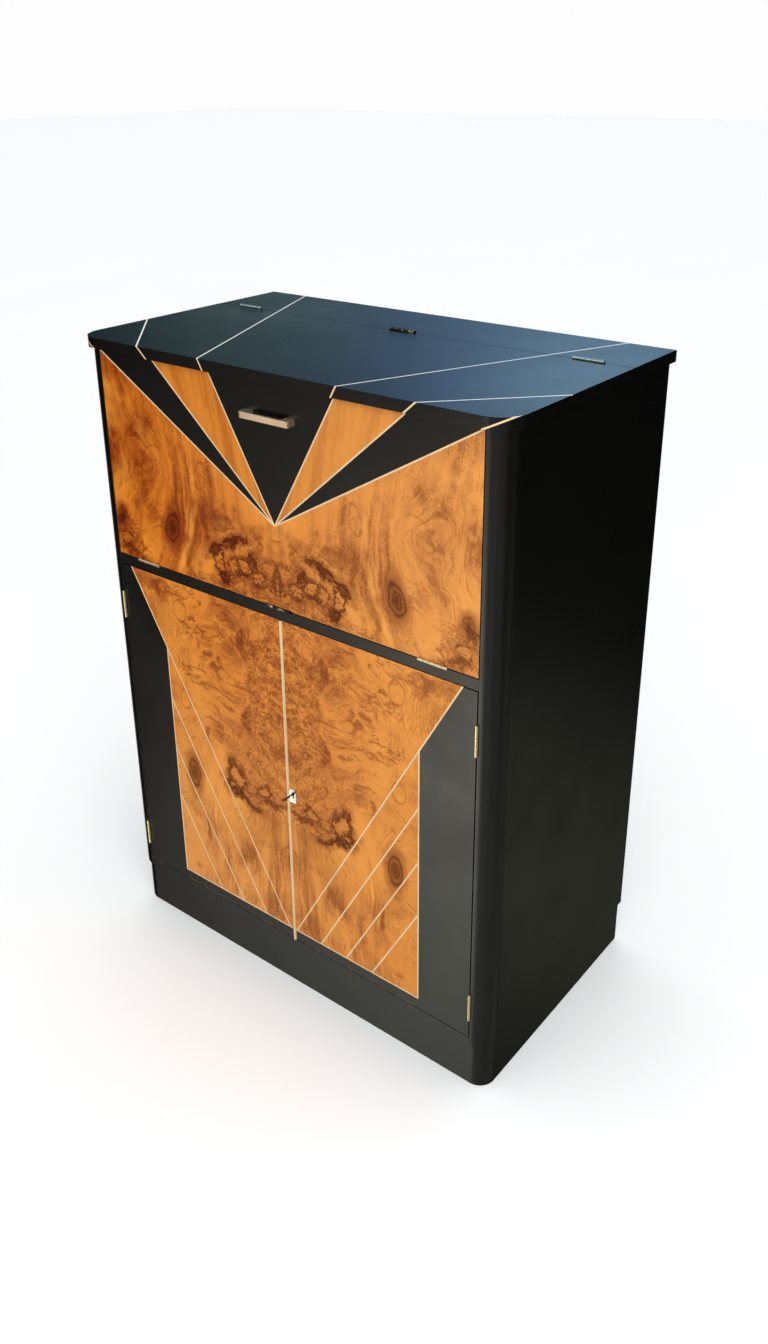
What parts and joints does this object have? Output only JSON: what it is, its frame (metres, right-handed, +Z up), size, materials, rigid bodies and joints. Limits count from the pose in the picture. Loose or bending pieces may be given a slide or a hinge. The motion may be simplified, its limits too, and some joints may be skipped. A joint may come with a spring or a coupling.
{
  "type": "cocktail cabinet",
  "caption": "Rounded-front cocktail cabinet on a plinth, with a lift-up lid, a drop flap with a bar handle and a pair of locking doors, inlaid in burl and pale lines.",
  "frame": {"origin": "under the middle of the whole object, at floor level", "axes": "+X to the right seen from the front, +Y to the back, +Z up"},
  "size_m": [0.82, 0.4806, 1.1192],
  "materials": {
    "black_lacquer": "satin black paint",
    "burl_veneer": "satin lacquered burl",
    "pale_line": "satin cream inlay",
    "inner_veneer": "satin lacquer",
    "back_plywood": "stained plywood",
    "brass": "polished, slightly worn",
    "rose_brass": "polished",
    "painted_hinge": "painted over, worn",
    "nickel": "polished",
    "steel": "plain",
    "dark_steel": "browned"
  },
  "bodies": {
    "cabinet": {"side_left": "black_lacquer", "side_right": "black_lacquer", "corner_post_left": "black_lacquer", "corner_post_right": "black_lacquer", "back_panel": "back_plywood", "bottom_board": "black_lacquer", "rail": "black_lacquer", "bar_floor": "inner_veneer", "door_stop": "inner_veneer", "plinth_corner_blocks": "black_lacquer", "plinth_front": "black_lacquer", "plinth_sides": "black_lacquer", "plinth_back": "black_lacquer", "cupboard_shelf": "inner_veneer", "shelf_pins": "brass", "top_strip": "black_lacquer", "top_strip_lines": "pale_line", "flap_hinge_frame_leaves": "brass", "flap_middle_hinge_frame_leaf": "painted_hinge", "flap_hinge_pins": "steel", "lid_hinge_strip_leaves": "brass", "lid_middle_hinge_strip_leaf": "painted_hinge", "lid_hinge_pins": "steel", "door_hinge_post_leaves": "brass", "door_hinge_pins": "steel", "stay_studs": "brass"},
    "lid": {"lid": "black_lacquer", "lid_lines": "pale_line", "lid_hinge_lid_leaves": "brass", "lid_middle_hinge_lid_leaf": "painted_hinge", "lid_stay_brackets": "brass"},
    "lid_stays": {"lid_stay_arms": "brass"},
    "flap": {"flap": "black_lacquer", "flap_veneer": "burl_veneer", "flap_lines": "pale_line", "handle": "rose_brass", "handle_screws": "steel", "flap_hinge_flap_leaves": "brass", "flap_middle_hinge_flap_leaf": "painted_hinge", "flap_stay_brackets": "brass"},
    "flap_stays": {"flap_stay_arms": "brass"},
    "left_door": {"door_left": "black_lacquer", "door_left_veneer": "burl_veneer", "door_left_lines": "pale_line", "left_hinge_door_leaves": "brass", "lock_keep": "brass", "bolt_guide": "brass"},
    "left_door_bolt": {"bolt_rod": "brass"},
    "right_door": {"door_right": "black_lacquer", "door_right_veneer": "burl_veneer", "door_right_lines": "pale_line", "right_hinge_door_leaves": "brass", "centre_bead": "pale_line", "escutcheon": "nickel", "lock_case": "steel"},
    "key": {"key": "dark_steel"},
    "lock_bolt": {"lock_bolt": "brass"}
  },
  "joints": [
    {"name": "lid_hinge", "type": "hinge", "parent": "cabinet", "child": "lid", "pos_m": [0, 0.1023, 1.1166], "axis": [-1, 0, 0], "range_deg": [0, 95]},
    {"name": "lid_stay_pivot", "type": "hinge", "parent": "lid", "child": "lid_stays", "pos_m": [0, -0.02377, 1.0877], "axis": [-1, 0, 0], "range_deg": [-47.5, 0]},
    {"name": "flap_hinge", "type": "hinge", "parent": "cabinet", "child": "flap", "pos_m": [0, -0.2163, 0.7424], "axis": [1, 0, 0], "range_deg": [0, 90]},
    {"name": "flap_stay_pivot", "type": "hinge", "parent": "flap", "child": "flap_stays", "pos_m": [0, -0.1871, 0.94039], "axis": [1, 0, 0], "range_deg": [-45, 0]},
    {"name": "left_door_hinge", "type": "hinge", "parent": "cabinet", "child": "left_door", "pos_m": [-0.36875, -0.2163, 0.4], "axis": [0, 0, -1], "range_deg": [0, 110]},
    {"name": "left_bolt_slide", "type": "slide", "parent": "left_door", "child": "left_door_bolt", "axis": [0, 0, -1], "range_m": [0, 0.009]},
    {"name": "right_door_hinge", "type": "hinge", "parent": "cabinet", "child": "right_door", "pos_m": [0.36875, -0.2163, 0.4], "axis": [0, 0, 1], "range_deg": [0, 110]},
    {"name": "key_turn", "type": "hinge", "parent": "right_door", "child": "key", "pos_m": [0.0135, -0.2163, 0.408], "axis": [0, 1, 0], "range_deg": [0, 90]},
    {"name": "lock_bolt_slide", "type": "slide", "parent": "right_door", "child": "lock_bolt", "axis": [-1, 0, 0], "range_m": [0, 0.007]}
  ],
  "couplings": [
    {"joint": "lid_stay_pivot", "follows": "lid_hinge", "ratio": -0.5},
    {"joint": "flap_stay_pivot", "follows": "flap_hinge", "ratio": -0.5},
    {"joint": "key_turn", "follows": "lock_bolt_slide", "rad_per_m": 224.39}
  ]
}
